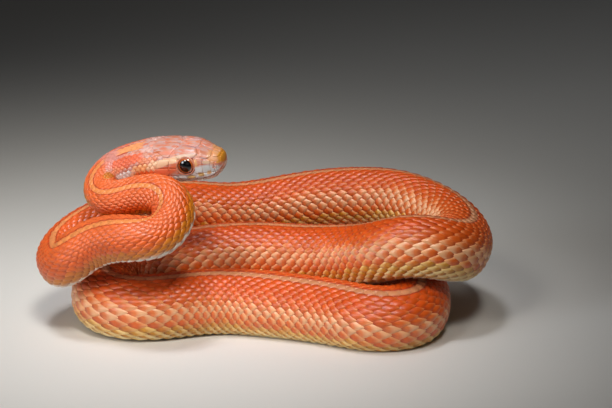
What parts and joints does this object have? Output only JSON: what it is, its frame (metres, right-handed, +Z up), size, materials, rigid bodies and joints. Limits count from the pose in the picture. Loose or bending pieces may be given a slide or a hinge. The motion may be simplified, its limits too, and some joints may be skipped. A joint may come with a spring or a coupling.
{
  "type": "corn snake",
  "caption": "Still life-size model of a young corn snake resting in loose coils, head raised on a folded neck, striped orange and cream.",
  "frame": {"origin": "on the floor, under the middle of the coils' outer box", "axes": "+Z up, +X to the right as the picture shows the snake, +Y away from its camera"},
  "size_m": [0.0976, 0.0707, 0.0427],
  "materials": {
    "head_skin": "smooth plates, satin, orange and lilac pink with cream patches and white lips",
    "body_skin": "small overlapping scales, satin, orange with a cream stripe and an ochre to white belly",
    "eye": "clear, wet gloss over a black pupil and an orange iris"
  },
  "bodies": {
    "root": {"head": "head_skin", "eye_right": "eye", "eye_left": "eye", "neck_first_bend": "body_skin", "neck_second_bend": "body_skin", "neck_left_bend": "body_skin", "body_far_left": "body_skin", "body_far": "body_skin", "body_right_bend": "body_skin", "body_middle": "body_skin", "body_low_left_bend": "body_skin", "body_front": "body_skin", "body_low_right_bend": "body_skin", "body_back": "body_skin", "tail_bend": "body_skin", "tail": "body_skin"}
  },
  "joints": []
}
